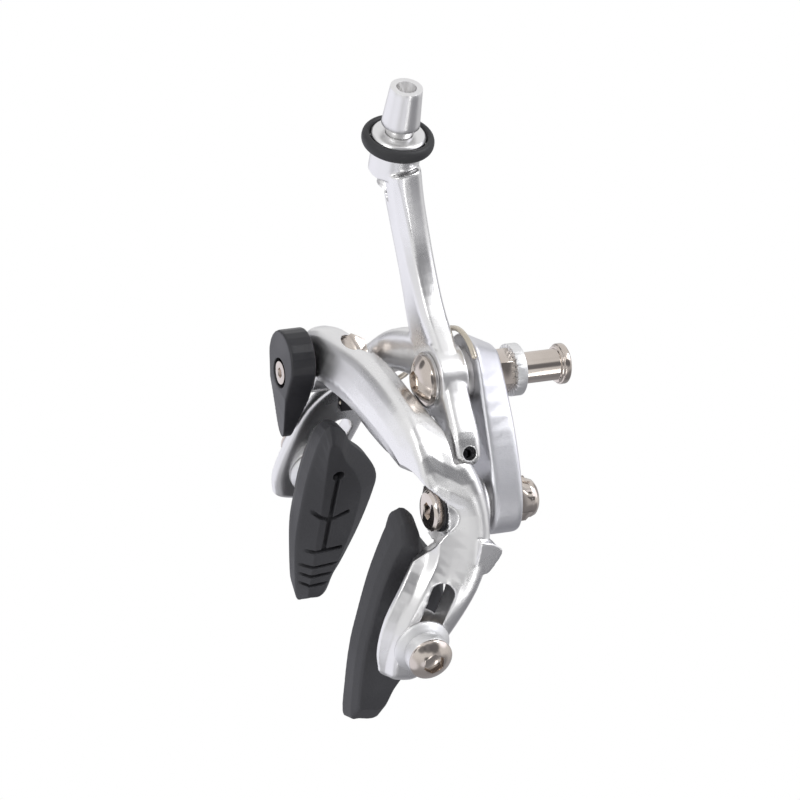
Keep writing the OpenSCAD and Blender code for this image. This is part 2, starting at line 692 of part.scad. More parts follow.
// Spring wire: an arc round the mounting bolt, then a straight run along the left leg
spring_wire = 0.7;
spring_r = 12.2;
spring_y = bracket_front - arm_gap / 2;
spring_from = 60;
spring_to = 140;
spring_path = concat(
    [for (a = [spring_from:10:spring_to]) [spring_r * cos(a), spring_y, spring_r * sin(a)]],
    [[-16.4, spring_y, -2.6], [-22.4, spring_y - 0.6, -11.4], [-24, spring_y - 2.6, -16.8],
    [-26, -23.4, -21.6], [-27, -28, -25.4], [-27.4, -29.8, -26.2], [-27.4, -33.6, -26.2]]
);
module return_spring() {
    color("tan") swept_bar([for (p = spring_path) [p[0], p[1], p[2], spring_wire, spring_wire, 0, 2]],
        3, 12, spring_wire, spring_wire);
}
module spring_block() {
    color("black") translate([-27.5, -32.2, -26.2]) rotate([0, -12, 0]) difference() {
        cube([2.3, 4, 4.2], center = true);
        cube([1.7, 6, 2], center = true);
    }
}

// Pad hardware as placed on each side
module right_side() { at_stud(right_stud, 1) children(); }
module left_side() { at_stud(left_stud, -1) children(); }
module right_dome_washer() { color("silver") right_side() outer_dome_washer(); }
module right_cup_washer() { color("silver") right_side() outer_cup_washer(); }
module right_inner_dome() { color("silver") right_side() inner_dome_washer(); }
module right_inner_cup() { color("silver") right_side() inner_cup_washer(); }
module right_pad_bolt() { color("silver") right_side() pad_bolt(); }
module right_pad_insert() { color("gray") right_side() pad_insert(); }
module right_pad() { color([0.2, 0.2, 0.2]) right_side() rotate([-right_pad_turn, 0, 0]) pad_body(); }
module left_dome_washer() { color("silver") left_side() outer_dome_washer(); }
module left_cup_washer() { color("silver") left_side() outer_cup_washer(); }
module left_inner_dome() { color("silver") left_side() inner_dome_washer(); }
module left_inner_cup() { color("silver") left_side() inner_cup_washer(); }
module left_pad_bolt() { color("silver") left_side() pad_bolt(); }
module left_pad_insert() { color("gray") left_side() pad_insert(); }
module left_pad() { color([0.2, 0.2, 0.2]) left_side() rotate([-left_pad_turn, 0, 0]) pad_body(); }

bracket();
mounting_bolt();
pivot_cap_nut();
front_thrust_washer();
centre_bush();
rear_thrust_washer();
bracket_lock_nut();
fork_spacer();
mounting_nut();
side_pivot_bolt();
side_pivot_washer();
side_bush();
side_thrust_washer();
side_pivot_nut();
return_spring();
adjuster_arm();
spring_block();
centring_screw();
left_dome_washer();
left_cup_washer();
left_inner_dome();
left_inner_cup();
adjuster_knob();
adjuster_ring();
cable_barrel();
left_pad();
left_pad_insert();
left_pad_bolt();
anchor_arm();
cable_clamp();
clamp_screw();
right_dome_washer();
right_cup_washer();
right_inner_dome();
right_inner_cup();
quick_release_lever();
quick_release_screw();
quick_release_axle();
right_pad();
right_pad_insert();
right_pad_bolt();
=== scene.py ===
"""Looks of the caliper brake: finishes, softened forgings, studio and camera.

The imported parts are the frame. Forged and moulded pieces are shown as softened copies of their
own meshes, turned pieces as copies with lightly bevelled edges, and the rest as they are. Lengths
are in metres, except where a docstring says millimetres.
"""

from __future__ import annotations

import json
import logging
import math
from dataclasses import dataclass, field
from enum import Enum
from typing import Any, Optional, Sequence, Union

import bmesh
import bpy
from mathutils import Matrix, Vector

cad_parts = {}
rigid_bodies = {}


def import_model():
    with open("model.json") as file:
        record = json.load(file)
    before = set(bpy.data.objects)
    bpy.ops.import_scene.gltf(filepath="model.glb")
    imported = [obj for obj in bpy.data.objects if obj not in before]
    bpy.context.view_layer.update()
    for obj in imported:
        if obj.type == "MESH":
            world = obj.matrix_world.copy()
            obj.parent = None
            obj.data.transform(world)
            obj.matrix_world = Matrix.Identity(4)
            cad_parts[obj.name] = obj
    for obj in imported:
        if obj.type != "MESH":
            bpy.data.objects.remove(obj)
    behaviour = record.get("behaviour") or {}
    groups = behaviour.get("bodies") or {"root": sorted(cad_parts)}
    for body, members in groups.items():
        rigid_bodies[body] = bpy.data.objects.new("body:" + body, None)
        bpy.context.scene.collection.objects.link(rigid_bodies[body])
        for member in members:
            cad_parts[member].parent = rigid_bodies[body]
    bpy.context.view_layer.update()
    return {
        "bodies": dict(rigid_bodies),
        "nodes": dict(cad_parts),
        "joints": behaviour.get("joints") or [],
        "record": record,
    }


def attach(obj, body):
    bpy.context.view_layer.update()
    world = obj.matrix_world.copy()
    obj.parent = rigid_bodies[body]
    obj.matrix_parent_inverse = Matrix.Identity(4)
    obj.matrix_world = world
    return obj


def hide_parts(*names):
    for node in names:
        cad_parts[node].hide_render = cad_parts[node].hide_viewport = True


log = logging.getLogger("caliper_brake")

MM = 0.001
Colour = tuple[float, float, float]


class Space(Enum):
    """Where a texture takes its coordinates from."""

    OBJECT = "Object"
    GENERATED = "Generated"


class Socket:
    """An output socket of a shader tree, with arithmetic that adds Math nodes."""

    def __init__(self, tree: "Tree", socket: bpy.types.NodeSocket) -> None:
        """Wraps an output socket.

        Args:
            tree: the tree that it belongs to.
            socket: the socket.
        """
        self.tree = tree
        self.socket = socket

    def _math(self, operation: str, *values: "Value") -> "Socket":
        """Adds one Math node.

        Args:
            operation: the node's operation.
            values: its inputs, this socket included.

        Returns:
            The node's output.
        """
        return self.tree.node("ShaderNodeMath", {"operation": operation}, dict(enumerate(values)))

    def __add__(self, other: "Value") -> "Socket":
        """Returns the sum."""
        return self._math("ADD", self, other)

    __radd__ = __add__

    def __sub__(self, other: "Value") -> "Socket":
        """Returns this value less the other."""
        return self._math("SUBTRACT", self, other)

    def __rsub__(self, other: "Value") -> "Socket":
        """Returns the other value less this one."""
        return self._math("SUBTRACT", other, self)

    def __mul__(self, other: "Value") -> "Socket":
        """Returns the product."""
        return self._math("MULTIPLY", self, other)

    __rmul__ = __mul__

    def ramp(self, low: float, high: float) -> "Socket":
        """Maps this value smoothly onto 0 to 1.

        Args:
            low: value that gives 0, as all lower ones do.
            high: value that gives 1, as all higher ones do.

        Returns:
            The mapped value.
        """
        return self.tree.node(
            "ShaderNodeMapRange", {"clamp": True, "interpolation_type": "SMOOTHSTEP"},
            {0: self, 1: low, 2: high},
        )


Value = Union[float, Socket]


@dataclass
class Tree:
    """A node tree being built."""

    nodes: bpy.types.Nodes
    links: bpy.types.NodeLinks

    def node(
        self,
        kind: str,
        settings: Optional[dict[str, Any]] = None,
        inputs: Optional[dict[Any, Any]] = None,
        output: Any = 0,
    ) -> Socket:
        """Adds a node.

        Args:
            kind: the node's type name.
            settings: properties to set on it.
            inputs: socket name or number to a value or a Socket.
            output: name or number of the output to return.

        Returns:
            The chosen output.
        """
        made = self.nodes.new(kind)
        for name, value in (settings or {}).items():
            setattr(made, name, value)
        for name, value in (inputs or {}).items():
            if isinstance(value, Socket):
                self.links.new(value.socket, made.inputs[name])
            else:
                made.inputs[name].default_value = value
        return Socket(self, made.outputs[output])

    def mix(self, factor: Value, a: Union[Colour, Socket], b: Union[Colour, Socket]) -> Socket:
        """Mixes two colours.

        Args:
            factor: 0 gives a, 1 gives b.
            a: first colour.
            b: second colour.

        Returns:
            The mixed colour.
        """
        colours = [c if isinstance(c, Socket) else (*c, 1.0) for c in (a, b)]
        return self.node(
            "ShaderNodeMix", {"data_type": "RGBA"}, {0: factor, 6: colours[0], 7: colours[1]}, 2
        )

    def coords(self, scale: Sequence[float], space: Space = Space.OBJECT) -> Socket:
        """Scales texture coordinates along each axis.

        Args:
            scale: factors along X, Y and Z.
            space: which coordinates are used.

        Returns:
            The scaled coordinates.
        """
        base = self.node("ShaderNodeTexCoord", output=space.value)
        return self.node(
            "ShaderNodeVectorMath", {"operation": "MULTIPLY"}, {0: base, 1: tuple(scale)}
        )

    def noise(
        self, scale: float, detail: float = 3.0, stretch: Sequence[float] = (1, 1, 1)
    ) -> Socket:
        """Adds a noise.

        Args:
            scale: number of cells per metre.
            detail: octaves.
            stretch: factors along X, Y and Z before the noise.

        Returns:
            Its value, from 0 to 1.
        """
        place = self.coords(stretch)
        return self.node(
            "ShaderNodeTexNoise", {}, {"Vector": place, "Scale": scale, "Detail": detail}
        )

    def split(self, vector: Socket, axis: int) -> Socket:
        """Takes one part out of a vector.

        Args:
            vector: the vector.
            axis: 0 for X, 1 for Y, 2 for Z.

        Returns:
            That part.
        """
        return self.node("ShaderNodeSeparateXYZ", {}, {0: vector}, axis)

    def bump(self, height: Socket, distance: float) -> Socket:
        """Bumps the surface's normal.

        Args:
            height: value from 0 to 1.
            distance: depth in metres of a full step.

        Returns:
            The bumped normal.
        """
        return self.node(
            "ShaderNodeBump", {}, {"Strength": 1.0, "Distance": distance, "Height": height}
        )


# How every finish wanders: the bands that the noises are spread over, and the share of each
WANDER_BAND = (0.35, 0.65)
WANDER_SHARE = 0.7
SPECK_SHARE = 1 - WANDER_SHARE
SPECK_FINER = 14
SPECK_ROUGHENS = 0.4
GRAIN_CELLS = 5200.0
GRAIN_BAND = (0.52, 0.74)
GRAIN_ROUGHENS = 0.5
WHITE = (1.0, 1.0, 1.0)


@dataclass(frozen=True)
class Finish:
    """A surface finish, made as a node material.

    Attributes:
        name: the material's name, and the record's slot it stands for.
        colour: base colour.
        shade: colour it wanders to.
        metallic: 1 for metal.
        roughness: lowest roughness.
        spread: how far the roughness wanders upward.
        patch: cells per metre of the wandering.
        grain: cells per metre of the fine bump, 0 for none.
        depth: depth of the fine bump, in metres.
        stretch: stretch of the fine bump along X, Y and Z.
        sparkle: how much single grains stand out in roughness and colour.
    """

    name: str
    colour: Colour
    shade: Colour
    metallic: float = 1.0
    roughness: float = 0.2
    spread: float = 0.1
    patch: float = 60.0
    grain: float = 0.0
    depth: float = 0.0
    stretch: tuple[float, float, float] = (1.0, 1.0, 1.0)
    sparkle: float = 0.0

    def material(self) -> bpy.types.Material:
        """Makes the finish's material, the first time that it is asked for.

        Returns:
            The material.
        """
        found = bpy.data.materials.get(f"finish_{self.name}")
        if found:
            return found
        made = bpy.data.materials.new(f"finish_{self.name}")
        made.use_nodes = True
        tree = Tree(made.node_tree.nodes, made.node_tree.links)
        shader = made.node_tree.nodes["Principled BSDF"]
        wander = tree.noise(self.patch, 4.0).ramp(*WANDER_BAND)
        speck = tree.noise(self.patch * SPECK_FINER, 2.0)
        colour = tree.mix(wander * WANDER_SHARE + speck * SPECK_SHARE, self.colour, self.shade)
        rough = self.roughness + wander * self.spread + speck * (self.spread * SPECK_ROUGHENS)
        if self.sparkle > 0:
            grains = tree.noise(GRAIN_CELLS, 1.0).ramp(*GRAIN_BAND)
            colour = tree.mix(grains * self.sparkle, colour, WHITE)
            rough = rough + grains * (self.sparkle * GRAIN_ROUGHENS)
        tree.links.new(colour.socket, shader.inputs["Base Color"])
        tree.links.new(rough.socket, shader.inputs["Roughness"])
        shader.inputs["Metallic"].default_value = self.metallic
        if self.grain > 0:
            normal = tree.bump(tree.noise(self.grain, 3.0, self.stretch), self.depth)
            tree.links.new(normal.socket, shader.inputs["Normal"])
        return made


POLISHED = Finish("polished_aluminium", (0.89, 0.885, 0.88), (0.84, 0.835, 0.83), roughness=0.25,
                  spread=0.06, patch=45, grain=420, depth=0.00002, sparkle=0.12)
SATIN = Finish("satin_aluminium", (0.80, 0.80, 0.82), (0.70, 0.70, 0.73), roughness=0.36,
               spread=0.06, patch=50, grain=1500, depth=0.00003, stretch=(1, 1, 9))
MATTE = Finish("matte_aluminium", (0.86, 0.86, 0.86), (0.78, 0.78, 0.78), roughness=0.38,
               spread=0.10, patch=160, grain=4000, depth=0.00002, sparkle=0.10)
NICKEL = Finish("nickel", (0.72, 0.655, 0.60), (0.62, 0.555, 0.50), roughness=0.06, spread=0.07,
                patch=90)
STEEL = Finish("steel", (0.62, 0.61, 0.60), (0.50, 0.49, 0.48), roughness=0.22, spread=0.12)
WIRE = Finish("spring_wire", (0.72, 0.66, 0.56), (0.60, 0.54, 0.44), roughness=0.18, spread=0.10)
BLACK_STEEL = Finish("black_steel", (0.05, 0.05, 0.055), (0.03, 0.03, 0.032), roughness=0.28,
                     spread=0.12)
BRONZE = Finish("bronze", (0.66, 0.49, 0.28), (0.52, 0.37, 0.20), roughness=0.3, spread=0.15)
PLASTIC = Finish("black_plastic", (0.016, 0.016, 0.019), (0.024, 0.024, 0.028), metallic=0.0,
                 roughness=0.30, spread=0.10, grain=3500, depth=0.00003)
RING_RUBBER = Finish("black_rubber", (0.018, 0.018, 0.020), (0.030, 0.030, 0.032), metallic=0.0,
                     roughness=0.42, spread=0.14, grain=2600, depth=0.00004)
PAD_RUBBER = Finish("pad_rubber", (0.034, 0.034, 0.038), (0.050, 0.050, 0.055), metallic=0.0,
                    roughness=0.50, spread=0.14, grain=1800, depth=0.00006)


@dataclass
class Piece:
    """A CAD node shown with its own mesh.

    Attributes:
        node: the node's name.
        finish: its finish.
    """

    node: str
    finish: Finish

    def build(self, frame: dict[str, Any]) -> bpy.types.Object:
        """Gives the node its finish.


        Returns:
            The shown object.
        """
        shown = frame["nodes"][self.node]
        shown.data.materials.clear()
        shown.data.materials.append(self.finish.material())
        log.info("%s: shown as it is, %s", self.node, self.finish.name)
        return shown


# How far one round of smoothing moves a point toward its neighbours' middle
SMOOTHING = 0.5


@dataclass
class Softened(Piece):
    """A forged or moulded node, shown as a remeshed copy whose edges are rounded.

    Attributes:
        voxel: size of the remesh, in metres.
        passes: rounds of smoothing.
        keep: share of the faces that is kept.
        body: the CAD body it moves with.
    """

    body: str = ""
    voxel: float = 0.38 * MM
    passes: int = 5
    keep: float = 1.0

    def build(self, frame: dict[str, Any]) -> bpy.types.Object:
        """Makes the softened copy, hides the node and lets the copy ride on its body.


        Returns:
            The softened copy.
        """
        source = frame["nodes"][self.node]
        mesh = source.data.copy()
        copy = bpy.data.objects.new(f"{self.node}_soft", mesh)
        bpy.context.scene.collection.objects.link(copy)
        copy.matrix_world = source.matrix_world
        self.carve(copy)
        remesh = copy.modifiers.new("remesh", "REMESH")
        remesh.mode = "VOXEL"
        remesh.voxel_size = self.voxel
        remesh.use_smooth_shade = True
        smooth = copy.modifiers.new("smooth", "SMOOTH")
        smooth.factor = SMOOTHING
        smooth.iterations = self.passes
        if self.keep < 1:
            thin = copy.modifiers.new("thin", "DECIMATE")
            thin.ratio = self.keep
        graph = bpy.context.evaluated_depsgraph_get()
        baked = bpy.data.meshes.new_from_object(copy.evaluated_get(graph))
        copy.modifiers.clear()
        copy.data = baked
        baked.materials.clear()
        baked.materials.append(self.finish.material())
        baked.shade_smooth()
        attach(copy, self.body)
        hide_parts(self.node)
        log.info("%s: softened, %s, %d faces", self.node, self.finish.name, len(baked.polygons))
        return copy

    def carve(self, copy: bpy.types.Object) -> None:
        """Cuts small features into the copy before it is remeshed; none by default.

        Args:
            copy: the copy, still with the node's own mesh.
        """


def cut_away(
    copy: bpy.types.Object, points: Sequence[Vector], faces: Sequence[Sequence[int]]
) -> None:
    """Cuts closed shapes out of a copy.

    Args:
        copy: the object that is cut; its mesh is replaced.
        points: corners of the shapes, in metres.
        faces: their faces, by corner number.
    """
    mesh = bpy.data.meshes.new(f"{copy.name}_cutter")
    mesh.from_pydata([tuple(p) for p in points], [], faces)
    outward = bmesh.new()
    outward.from_mesh(mesh)
    bmesh.ops.recalc_face_normals(outward, faces=outward.faces)
    outward.to_mesh(mesh)
    outward.free()
    tool = bpy.data.objects.new(mesh.name, mesh)
    bpy.context.scene.collection.objects.link(tool)
    cut = copy.modifiers.new("cut", "BOOLEAN")
    cut.operation = "DIFFERENCE"
    cut.solver = "EXACT"
    cut.use_self = True
    cut.object = tool
    graph = bpy.context.evaluated_depsgraph_get()
    carved = bpy.data.meshes.new_from_object(copy.evaluated_get(graph))
    copy.modifiers.clear()
    copy.data = carved
    bpy.data.objects.remove(tool)


class Axis(Enum):
    """The axis that a cutter is turned round."""

    Y = "Y"
    Z = "Z"


@dataclass(frozen=True)
class Turned:
    """A ring-shaped cutter with a closed outline, in millimetres.

    Attributes:
        axis: the axis that it is turned round.
        centre: where that axis is, as (x, z) for Y and (x, y) for Z.
        outline: corners of the outline, as (radius, place along the axis).
        sides: faces round the axis.
    """

    axis: Axis
    centre: tuple[float, float]
    outline: tuple[tuple[float, float], ...]
    sides: int = 72

    def cut(self, copy: bpy.types.Object) -> None:
        """Cuts the ring out of a copy.

        Args:
            copy: the object that is cut.
        """
        n = len(self.outline)
        points: list[Vector] = []
        for k in range(self.sides):
            angle = math.tau * k / self.sides
            for r, along in self.outline:
                a = self.centre[0] + r * math.cos(angle)
                b = self.centre[1] + r * math.sin(angle)
                corner = (a, along, b) if self.axis is Axis.Y else (a, b, along)
                points.append(Vector(corner) * MM)
        total = len(points)
        faces = []
        for k in range(self.sides):
            here, beyond = k * n, (k + 1) * n
            for j in range(n):
                other = (j + 1) % n
                faces.append((here + j, here + other, (beyond + other) % total, (beyond + j) % total))
        cut_away(copy, points, faces)


# Axis of the cable barrel as (x, y) and of the quick release as (x, z), in millimetres
CABLE = (-33.5, -27.2)
RELEASE = (-33.0, -18.5)


@dataclass
class AdjusterArm(Softened):
    """The rear arm, whose boss keeps a clear bore for the cable barrel.

    Attributes:
        bore_r: radius of the opened bore, in millimetres.
        bore_core_r: radius inside which there is nothing to cut.
        bore_low: its lower end.
        bore_high: its upper end.
    """

    bore_r: float = 3.85
    bore_core_r: float = 2.0
    bore_low: float = 34.4
    bore_high: float = 48.0

    def carve(self, copy: bpy.types.Object) -> None:
        """Opens the bore as much as the smoothing closes it.

        Args:
            copy: the copy, still with the node's own mesh.
        """
        outline = (
            (self.bore_core_r, self.bore_low), (self.bore_r, self.bore_low),
            (self.bore_r, self.bore_high), (self.bore_core_r, self.bore_high),
        )
        Turned(Axis.Z, CABLE, outline).cut(copy)


@dataclass
class AnchorArm(Softened):
    """The front arm, whose seat round the side pivot opens forward as a cone.

    Attributes:
        side: place of the side pivot, as (x, z) in millimetres.
        seat_r: radius of the seat.
        mouth_from: where the cone starts, along Y.
        mouth_to: where it ends.
        flare: growth of its radius per millimetre.
        core_inset: how far inside the seat's wall there is nothing to cut.
        release_r: radius of the release's opened bore.
        release_core_r: radius inside which there is nothing to cut.
        release_front: its front end, along Y.
        release_rear: its rear end.
    """

    side: tuple[float, float] = (22.3, -23.7)
    seat_r: float = 7.0
    mouth_from: float = -25.6
    mouth_to: float = -42.0
    flare: float = 0.5
    core_inset: float = 2.0
    release_r: float = 3.35
    release_core_r: float = 1.5
    release_front: float = -45.0
    release_rear: float = -37.3

    def carve(self, copy: bpy.types.Object) -> None:
        """Cuts the cone, and opens the release's bore as much as the smoothing closes it.

        Args:
            copy: the copy, still with the node's own mesh.
        """
        wide = self.seat_r + (self.mouth_from - self.mouth_to) * self.flare
        core = self.seat_r - self.core_inset
        mouth = (
            (core, self.mouth_from), (self.seat_r, self.mouth_from), (wide, self.mouth_to),
            (core, self.mouth_to),
        )
        bore = (
            (self.release_core_r, self.release_front), (self.release_r, self.release_front),
            (self.release_r, self.release_rear), (self.release_core_r, self.release_rear),
        )
        Turned(Axis.Y, self.side, mouth).cut(copy)
        Turned(Axis.Y, RELEASE, bore).cut(copy)


@dataclass(frozen=True)
class Groove:
    """A straight groove in a pad's tread, in millimetres of the pad's own frame.

    Attributes:
        start: one end, as (y, z) from the stud.
        end: the other end.
        width: its width.
        depth: its depth below the tread.
        above: how far its cutter stands out of the tread.
    """

    start: tuple[float, float]
    end: tuple[float, float]
    width: float = 1.3
    depth: float = 1.8
    above: float = 3.0

    def corners(self, tread: float) -> list[Vector]:
        """Places the groove's cutter.

        Args:
            tread: place of the tread along the stud.

        Returns:
            Its eight corners.
        """
        a, b = Vector(self.start), Vector(self.end)
        run = (b - a).normalized() * (self.width / 2)
        across = Vector((-run.y, run.x))
        ring = [a - run - across, b + run - across, b + run + across, a - run + across]
        ends = (tread - self.above, tread + self.depth)
        return [Vector((x, p.x, p.y)) for x in ends for p in ring]


# Middles of the crossing groove and of the forked one, and the three saw cuts below them
TEE = (-2.9, -12.9)
FORK = (-2.4, -1.9)
SAW_CUTS = 3
SAW_FIRST = 6.0
SAW_STEP = 3.4
SAW_RISE = 0.8
TREAD = (
    Groove((TEE[0] - 5.4, TEE[1] - 0.4), (TEE[0] + 4.6, TEE[1] + 0.2)),
    Groove(FORK, (FORK[0] - 5.6, FORK[1] + 3.4)),
    Groove(FORK, (FORK[0] + 4.8, FORK[1] + 2.0)),
    *(
        Groove((TEE[0] - 5.0, low), (TEE[0] + 12.0, low + SAW_RISE), width=1.1, depth=2.6)
        for low in (TEE[1] - SAW_FIRST - SAW_STEP * k for k in range(SAW_CUTS))
    ),
)
# Faces of a box whose corners 0 to 3 go round one end and 4 to 7 round the other
BOX_SIDES = ((0, 1, 2, 3), (7, 6, 5, 4), (0, 4, 5, 1), (1, 5, 6, 2), (2, 6, 7, 3), (3, 7, 4, 0))


@dataclass
class TreadedPad(Softened):
    """A brake pad whose tread has grooves and saw cuts.

    Attributes:
        stud: the pad's stud on the leg, in millimetres.
        lean: degrees by which the leg leans outward.
        turn: degrees the pad is turned about its stud.
        tread: place of the tread along the stud, in millimetres.
    """

    stud: tuple[float, float, float] = (0.0, 0.0, 0.0)
    lean: float = 5.5
    turn: float = 0.0
    tread: float = -22.25

    def carve(self, copy: bpy.types.Object) -> None:
        """Cuts the grooves of the tread.

        Args:
            copy: the copy, still with the node's own mesh.
        """
        side = math.copysign(1.0, self.stud[0])
        place = (
            Matrix.Translation(Vector(self.stud))
            @ Matrix.Scale(side, 4, Vector((1, 0, 0)))
            @ Matrix.Rotation(-math.radians(self.lean), 4, "Y")
            @ Matrix.Rotation(-math.radians(self.turn), 4, "X")
        )
        points: list[Vector] = []
        faces: list[tuple[int, ...]] = []
        for groove in TREAD:
            base = len(points)
            points += [place @ p * MM for p in groove.corners(self.tread)]
            faces += [tuple(base + i for i in f) for f in BOX_SIDES]
        cut_away(copy, points, faces)


@dataclass
class Crisp(Piece):
    """A turned or cut node, shown as a copy with its edges lightly bevelled.

    Attributes:
        body: the CAD body it moves with.
        edge: width of the bevel, in metres.
        weld: corners closer than this are joined first.
        bevel_from: degrees between faces from which an edge is bevelled.
        sharp_from: degrees between faces from which an edge is shaded as sharp.
    """

    body: str = ""
    edge: float = 0.15 * MM
    weld: float = 0.002 * MM
    bevel_from: float = 32
    sharp_from: float = 40

    def build(self, frame: dict[str, Any]) -> bpy.types.Object:
        """Makes the bevelled copy, hides the node and lets the copy ride on its body.


        Returns:
            The bevelled copy.
        """
        source = frame["nodes"][self.node]
        copy = bpy.data.objects.new(f"{self.node}_crisp", source.data.copy())
        bpy.context.scene.collection.objects.link(copy)
        copy.matrix_world = source.matrix_world
        self.carve(copy)
        weld = copy.modifiers.new("weld", "WELD")
        weld.merge_threshold = self.weld
        bevel = copy.modifiers.new("bevel", "BEVEL")
        bevel.width = self.edge
        bevel.segments = 2
        bevel.limit_method = "ANGLE"
        bevel.angle_limit = math.radians(self.bevel_from)
        bevel.use_clamp_overlap = True
        graph = bpy.context.evaluated_depsgraph_get()
        baked = bpy.data.meshes.new_from_object(copy.evaluated_get(graph))
        copy.modifiers.clear()
        copy.data = baked
        baked.materials.clear()
        baked.materials.append(self.finish.material())
        baked.shade_smooth()
        baked.set_sharp_from_angle(angle=math.radians(self.sharp_from))
        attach(copy, self.body)
        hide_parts(self.node)
        log.info("%s: bevelled, %s, %d faces", self.node, self.finish.name, len(baked.polygons))
        return copy

    def carve(self, copy: bpy.types.Object) -> None:
        """Cuts small features into the copy before it is bevelled; none by default.

        Args:
            copy: the copy, still with the node's own mesh.
        """


@dataclass
class ThreadedBarrel(Crisp):
    """The cable barrel, with thread rings on the end that shows under the boss.

    Attributes:
        crest_r: radius of the thread's crests, in millimetres.
        root_r: radius of its roots.
        pitch: distance from crest to crest.
        low: lowest root.
        turns: number of rings.
        overcut: how far the crests stand clear of the cutter.
        reach: how far the cutter goes out past the crests.
    """

    crest_r: float = 3.5
    root_r: float = 3.05
    pitch: float = 1.0
    low: float = 38.2
    turns: int = 5
    overcut: float = 0.02
    reach: float = 1.0

    def carve(self, copy: bpy.types.Object) -> None:
        """Cuts the rings.

        Args:
            copy: the copy, still with the node's own mesh.
        """
        half = self.pitch / 2
        crest = self.crest_r + self.overcut
        outside = self.crest_r + self.reach
        teeth: list[tuple[float, float]] = []
        for k in range(self.turns):
            root = self.low + self.pitch * k
            teeth += [(crest, root - half), (self.root_r, root)]
        top = self.low + self.pitch * self.turns - half
        outline = (*teeth, (crest, top), (outside, top), (outside, self.low - half))
        Turned(Axis.Z, CABLE, outline).cut(copy)


@dataclass
class SubAssembly:
    """Pieces that are built together.

    Attributes:
        body: the CAD body that its pieces move with, where a piece names no other.
    """

    body: str

    def pieces(self) -> list[Piece]:
        """Returns its pieces; each sub-assembly lists its own."""
        raise NotImplementedError

    def build(self, frame: dict[str, Any]) -> list[bpy.types.Object]:
        """Builds every piece.


        Returns:
            The shown objects.
        """
        made = [p.build(frame) for p in self.pieces()]
        log.info("%s: %d pieces", type(self).__name__, len(made))
        return made


@dataclass
class Mounting(SubAssembly):
    """The bolt, bracket and nuts that stay with the fork.

    Attributes:
        washer_edge: bevel of the thin washers, in metres.
        black_washer_edge: bevel of the side pivot's washer.
        spacer_edge: bevel of the serrated spacer.
        bracket_voxel: size of the bracket's remesh.
        bracket_passes: rounds of smoothing of the bracket.
    """

    body: str = "brake_frame"
    washer_edge: float = 0.08 * MM
    black_washer_edge: float = 0.1 * MM
    spacer_edge: float = 0.12 * MM
    bracket_voxel: float = 0.3 * MM
    bracket_passes: int = 32

    def pieces(self) -> list[Piece]:
        """Returns the nuts, washers, bolt, bushes, spacer and bracket."""
        nuts = (
            "pivot_cap_nut", "bracket_lock_nut", "mounting_nut", "side_pivot_bolt", "side_pivot_nut",
        )
        washers = ("front_thrust_washer", "rear_thrust_washer", "side_thrust_washer")
        return [
            *(Crisp(n, NICKEL, body=self.body) for n in nuts),
            *(Crisp(n, STEEL, body=self.body, edge=self.washer_edge) for n in washers),
            Piece("mounting_bolt", NICKEL),
            Piece("centre_bush", BRONZE),
            Piece("side_bush", BRONZE),
            Crisp("side_pivot_washer", PLASTIC, body=self.body, edge=self.black_washer_edge),
            Crisp("fork_spacer", MATTE, body=self.body, edge=self.spacer_edge),
            Softened("bracket", SATIN, body=self.body, voxel=self.bracket_voxel,
                     passes=self.bracket_passes),
        ]


@dataclass
class ArmSide(SubAssembly):
    """A sub-assembly that is built round a forged arm.

    Attributes:
        arm_voxel: size of the arm's remesh, in metres.
        arm_passes: rounds of smoothing of the arm.
        arm_keep: share of the arm's faces that is kept.
    """

    arm_voxel: float = 0.26 * MM
    arm_passes: int = 10
    arm_keep: float = 0.4


@dataclass
class AdjusterSide(ArmSide):
    """The arm that carries the cable adjuster, with its spring and screws.

    Attributes:
        block_edge: bevel of the spring's block, in metres.
        ring_voxel: size of the rubber ring's remesh.
        ring_passes: its rounds of smoothing.
        barrel_edge: bevel of the cable barrel.
    """

    body: str = "adjuster_side"
    block_edge: float = 0.25 * MM
    ring_voxel: float = 0.25 * MM
    ring_passes: int = 2
    barrel_edge: float = 0.04 * MM

    def pieces(self) -> list[Piece]:
        """Returns the arm, spring, block, screw, adjuster nut, ring and barrel."""
        return [
            AdjusterArm("adjuster_arm", POLISHED, body=self.body, voxel=self.arm_voxel,
                        passes=self.arm_passes, keep=self.arm_keep),
            Piece("return_spring", WIRE),
            Crisp("spring_block", PLASTIC, body=self.body, edge=self.block_edge),
            Crisp("centring_screw", BLACK_STEEL, body="centring_screw"),
            Crisp("adjuster_knob", POLISHED, body="adjuster_nut"),
            Softened("adjuster_ring", RING_RUBBER, body="adjuster_nut", voxel=self.ring_voxel,
                     passes=self.ring_passes),
            ThreadedBarrel("cable_barrel", POLISHED, body="adjuster_barrel", edge=self.barrel_edge),
        ]


@dataclass
class AnchorSide(ArmSide):
    """The arm that turns about the side pivot, with its clamp and quick release.

    Attributes:
        lever_voxel: size of the lever's remesh, in metres.
        lever_passes: its rounds of smoothing.
    """

    body: str = "anchor_side"
    lever_voxel: float = 0.22 * MM
    lever_passes: int = 3

    def pieces(self) -> list[Piece]:
        """Returns the arm, clamp and its screw, and the lever with its screw and axle."""
        return [
            AnchorArm("anchor_arm", POLISHED, body=self.body, voxel=self.arm_voxel,
                      passes=self.arm_passes, keep=self.arm_keep),
            Crisp("cable_clamp", NICKEL, body=self.body),
            Crisp("clamp_screw", NICKEL, body=self.body),
            Softened("quick_release_lever", PLASTIC, body="release_lever", voxel=self.lever_voxel,
                     passes=self.lever_passes),
            Crisp("quick_release_screw", NICKEL, body="release_lever"),
            Piece("quick_release_axle", STEEL),
        ]


class Side(Enum):
    """Which pad a sub-assembly is, as the first word of its nodes."""

    LEFT = "left"
    RIGHT = "right"


